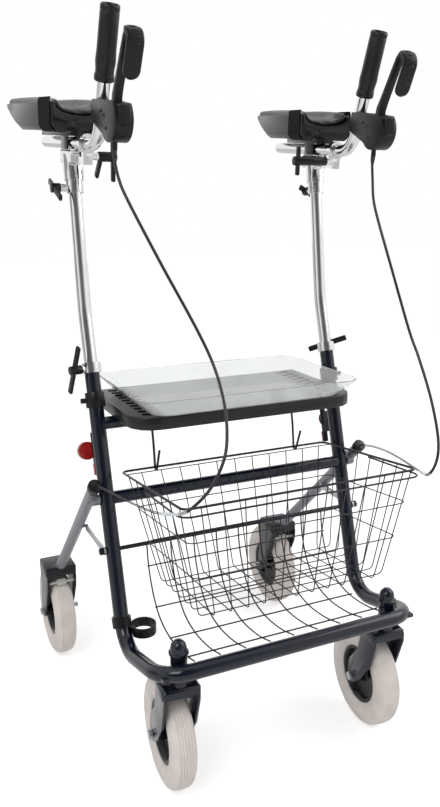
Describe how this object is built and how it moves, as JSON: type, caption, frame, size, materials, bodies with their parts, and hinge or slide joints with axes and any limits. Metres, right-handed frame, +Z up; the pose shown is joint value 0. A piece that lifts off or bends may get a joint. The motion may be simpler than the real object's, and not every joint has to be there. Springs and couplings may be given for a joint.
{
  "type": "forearm rollator",
  "caption": "Wheeled walking frame with raised forearm gutters, hand grips with cable brakes, a seat, a clear tray, a wire basket, swivelling front casters and folding rear legs.",
  "frame": {"origin": "on the floor, under the middle of the frame's length and width", "axes": "+Z up, -Y the way the walker faces, +X the walker's own left"},
  "size_m": [0.6568, 0.7742, 1.308],
  "materials": {
    "navy_paint": "gloss navy-black enamel",
    "chrome": "polished",
    "zinc_steel": "zinc plated",
    "leg_enamel": "silver-grey enamel",
    "black_plastic": "fine-grained moulded plastic",
    "black_wire": "dark coated wire",
    "grey_tyre": "light warm grey, ribbed",
    "black_rim": "glossy moulded plastic",
    "black_foam": "smooth skinned foam",
    "shell_plastic": "glossy moulded shell",
    "clear_plastic": "clear moulded tray",
    "reflector_red": "translucent red lens on a black bracket",
    "cable_black": "black outer casing"
  },
  "bodies": {
    "frame": {"frame_tube": "navy_paint", "upper_crossbar": "navy_paint", "middle_crossbar": "navy_paint", "cross_rod": "zinc_steel", "front_grille": "black_wire", "cane_holder": "black_plastic", "right_reflector": "reflector_red", "right_seat_clamp": "black_plastic", "right_post_collar": "chrome", "right_brake_cable": "cable_black", "left_reflector": "reflector_red", "left_seat_clamp": "black_plastic", "left_post_collar": "chrome", "left_brake_cable": "cable_black"},
    "right_collar_knob": {"right_collar_knob": "black_plastic"},
    "right_post": {"right_post": "chrome"},
    "right_arm": {"right_arm_head": "chrome", "right_pad_shell": "shell_plastic", "right_pad": "black_foam"},
    "right_head_knob": {"right_head_knob": "black_plastic"},
    "right_clamp_knob": {"right_clamp_knob": "black_plastic"},
    "right_reach": {"right_grip_tube": "chrome", "right_grip": "black_plastic", "right_brake_housing": "black_plastic"},
    "right_lever": {"right_brake_lever": "black_plastic"},
    "right_caster": {"right_caster_fork": "navy_paint", "right_front_axle": "zinc_steel"},
    "right_front_wheel": {"right_front_tyre": "grey_tyre", "right_front_rim": "black_rim"},
    "right_leg": {"right_rear_leg": "leg_enamel", "right_rear_axle": "zinc_steel"},
    "right_rear_wheel": {"right_rear_tyre": "grey_tyre", "right_rear_rim": "black_rim"},
    "right_strut": {"right_strut": "zinc_steel"},
    "right_shoe": {"right_brake_shoe": "zinc_steel"},
    "left_collar_knob": {"left_collar_knob": "black_plastic"},
    "left_post": {"left_post": "chrome"},
    "left_arm": {"left_arm_head": "chrome", "left_pad_shell": "shell_plastic", "left_pad": "black_foam"},
    "left_head_knob": {"left_head_knob": "black_plastic"},
    "left_clamp_knob": {"left_clamp_knob": "black_plastic"},
    "left_reach": {"left_grip_tube": "chrome", "left_grip": "black_plastic", "left_brake_housing": "black_plastic"},
    "left_lever": {"left_brake_lever": "black_plastic"},
    "left_caster": {"left_caster_fork": "navy_paint", "left_front_axle": "zinc_steel"},
    "left_front_wheel": {"left_front_tyre": "grey_tyre", "left_front_rim": "black_rim"},
    "left_leg": {"left_rear_leg": "leg_enamel", "left_rear_axle": "zinc_steel"},
    "left_rear_wheel": {"left_rear_tyre": "grey_tyre", "left_rear_rim": "black_rim"},
    "left_strut": {"left_strut": "zinc_steel"},
    "left_shoe": {"left_brake_shoe": "zinc_steel"},
    "seat": {"seat": "black_plastic"},
    "tray": {"tray": "clear_plastic"},
    "basket": {"basket": "black_wire"},
    "basket_handle": {"basket_handle": "black_wire"}
  },
  "joints": [
    {"name": "right_collar_knob_turn", "type": "hinge", "parent": "frame", "child": "right_collar_knob", "pos_m": [-0.2747, 0.0034, 0.7199], "axis": [-0.9659, -0.259, 0], "continuous": true},
    {"name": "right_post_slide", "type": "slide", "parent": "frame", "child": "right_post", "axis": [0, 0.2751, 0.9614], "range_m": [-0.085, 0.12], "deforming": ["right_brake_cable"]},
    {"name": "right_arm_swivel", "type": "hinge", "parent": "right_post", "child": "right_arm", "pos_m": [-0.2536, 0.0755, 1.1195], "axis": [0, 0.1265, 0.992], "range_deg": [-30, 30]},
    {"name": "right_head_knob_turn", "type": "hinge", "parent": "right_arm", "child": "right_head_knob", "pos_m": [-0.2804, 0.0655, 1.0411], "axis": [-1, 0, 0], "continuous": true},
    {"name": "right_clamp_knob_turn", "type": "hinge", "parent": "right_arm", "child": "right_clamp_knob", "pos_m": [-0.2295, -0.008, 1.0919], "axis": [0.999, 0.0454, 0], "continuous": true},
    {"name": "right_reach_slide", "type": "slide", "parent": "right_arm", "child": "right_reach", "axis": [-0.0452, 0.9957, 0.0811], "range_m": [-0.06, 0.015]},
    {"name": "right_lever_pull", "type": "hinge", "parent": "right_reach", "child": "right_lever", "pos_m": [-0.2429, -0.161, 1.1564], "axis": [0.999, 0.0454, 0], "range_deg": [-16, 0], "stiffness_Nm_per_rad": 0.8, "springref_deg": 8.59},
    {"name": "right_caster_swivel", "type": "hinge", "parent": "frame", "child": "right_caster", "pos_m": [-0.2106, -0.2943, 0.2], "axis": [0, 0, 1], "continuous": true},
    {"name": "right_front_wheel_spin", "type": "hinge", "parent": "right_caster", "child": "right_front_wheel", "pos_m": [-0.2071, -0.2334, 0.1], "axis": [0.9983, -0.0576, 0], "continuous": true},
    {"name": "right_leg_fold", "type": "hinge", "parent": "frame", "child": "right_leg", "pos_m": [-0.2831, -0.0576, 0.487], "axis": [1, 0, 0], "range_deg": [-45, 0]},
    {"name": "right_rear_wheel_spin", "type": "hinge", "parent": "right_leg", "child": "right_rear_wheel", "pos_m": [-0.2831, 0.2871, 0.1], "axis": [1, 0, 0], "continuous": true},
    {"name": "right_strut_fold", "type": "hinge", "parent": "frame", "child": "right_strut", "pos_m": [-0.2536, -0.0837, 0.396], "axis": [1, 0, 0], "range_deg": [-108, 0]},
    {"name": "right_shoe_press", "type": "slide", "parent": "right_leg", "child": "right_shoe", "axis": [0, 0.5225, -0.8526], "range_m": [0, 0.0012]},
    {"name": "left_collar_knob_turn", "type": "hinge", "parent": "frame", "child": "left_collar_knob", "pos_m": [0.2706, 0.0317, 0.7199], "axis": [0.6, 0.8, 0], "continuous": true},
    {"name": "left_post_slide", "type": "slide", "parent": "frame", "child": "left_post", "axis": [0, 0.2751, 0.9614], "range_m": [-0.085, 0.12], "deforming": ["left_brake_cable"]},
    {"name": "left_arm_swivel", "type": "hinge", "parent": "left_post", "child": "left_arm", "pos_m": [0.2536, 0.0755, 1.1195], "axis": [0, 0.1265, 0.992], "range_deg": [-30, 30]},
    {"name": "left_head_knob_turn", "type": "hinge", "parent": "left_arm", "child": "left_head_knob", "pos_m": [0.2536, 0.0921, 1.0377], "axis": [0, 0.992, -0.1265], "continuous": true},
    {"name": "left_clamp_knob_turn", "type": "hinge", "parent": "left_arm", "child": "left_clamp_knob", "pos_m": [0.2295, -0.008, 1.0919], "axis": [-0.999, 0.0454, 0], "continuous": true},
    {"name": "left_reach_slide", "type": "slide", "parent": "left_arm", "child": "left_reach", "axis": [0.0452, 0.9957, 0.0811], "range_m": [-0.06, 0.015]},
    {"name": "left_lever_pull", "type": "hinge", "parent": "left_reach", "child": "left_lever", "pos_m": [0.2429, -0.161, 1.1564], "axis": [0.999, -0.0454, 0], "range_deg": [-16, 0], "stiffness_Nm_per_rad": 0.8, "springref_deg": 8.59},
    {"name": "left_caster_swivel", "type": "hinge", "parent": "frame", "child": "left_caster", "pos_m": [0.2106, -0.2943, 0.2], "axis": [0, 0, 1], "continuous": true},
    {"name": "left_front_wheel_spin", "type": "hinge", "parent": "left_caster", "child": "left_front_wheel", "pos_m": [0.2141, -0.2334, 0.1], "axis": [0.9983, -0.0576, 0], "continuous": true},
    {"name": "left_leg_fold", "type": "hinge", "parent": "frame", "child": "left_leg", "pos_m": [0.2831, -0.0576, 0.487], "axis": [1, 0, 0], "range_deg": [-45, 0]},
    {"name": "left_rear_wheel_spin", "type": "hinge", "parent": "left_leg", "child": "left_rear_wheel", "pos_m": [0.2831, 0.2871, 0.1], "axis": [1, 0, 0], "continuous": true},
    {"name": "left_strut_fold", "type": "hinge", "parent": "frame", "child": "left_strut", "pos_m": [0.2536, -0.0837, 0.396], "axis": [1, 0, 0], "range_deg": [-108, 0]},
    {"name": "left_shoe_press", "type": "slide", "parent": "left_leg", "child": "left_shoe", "axis": [0, 0.5225, -0.8526], "range_m": [0, 0.0012]},
    {"name": "seat_flip", "type": "hinge", "parent": "frame", "child": "seat", "pos_m": [0, -0.0196, 0.62], "axis": [1, 0, 0], "range_deg": [-85, 0]},
    {"name": "tray_lift", "type": "slide", "parent": "seat", "child": "tray", "axis": [0, 0, 1], "range_m": [0, 0.15]},
    {"name": "basket_lift", "type": "slide", "parent": "frame", "child": "basket", "axis": [0, 0, 1], "range_m": [0, 0.05]},
    {"name": "basket_handle_swing", "type": "hinge", "parent": "basket", "child": "basket_handle", "pos_m": [0, -0.1966, 0.5405], "axis": [1, 0, 0], "range_deg": [-90, 0]}
  ],
  "couplings": [
    {"joint": "right_strut_fold", "follows": "right_leg_fold", "ratio": 2.4},
    {"joint": "right_shoe_press", "follows": "right_lever_pull", "m_per_rad": -0.0042},
    {"joint": "left_strut_fold", "follows": "left_leg_fold", "ratio": 2.4},
    {"joint": "left_shoe_press", "follows": "left_lever_pull", "m_per_rad": -0.0042}
  ]
}
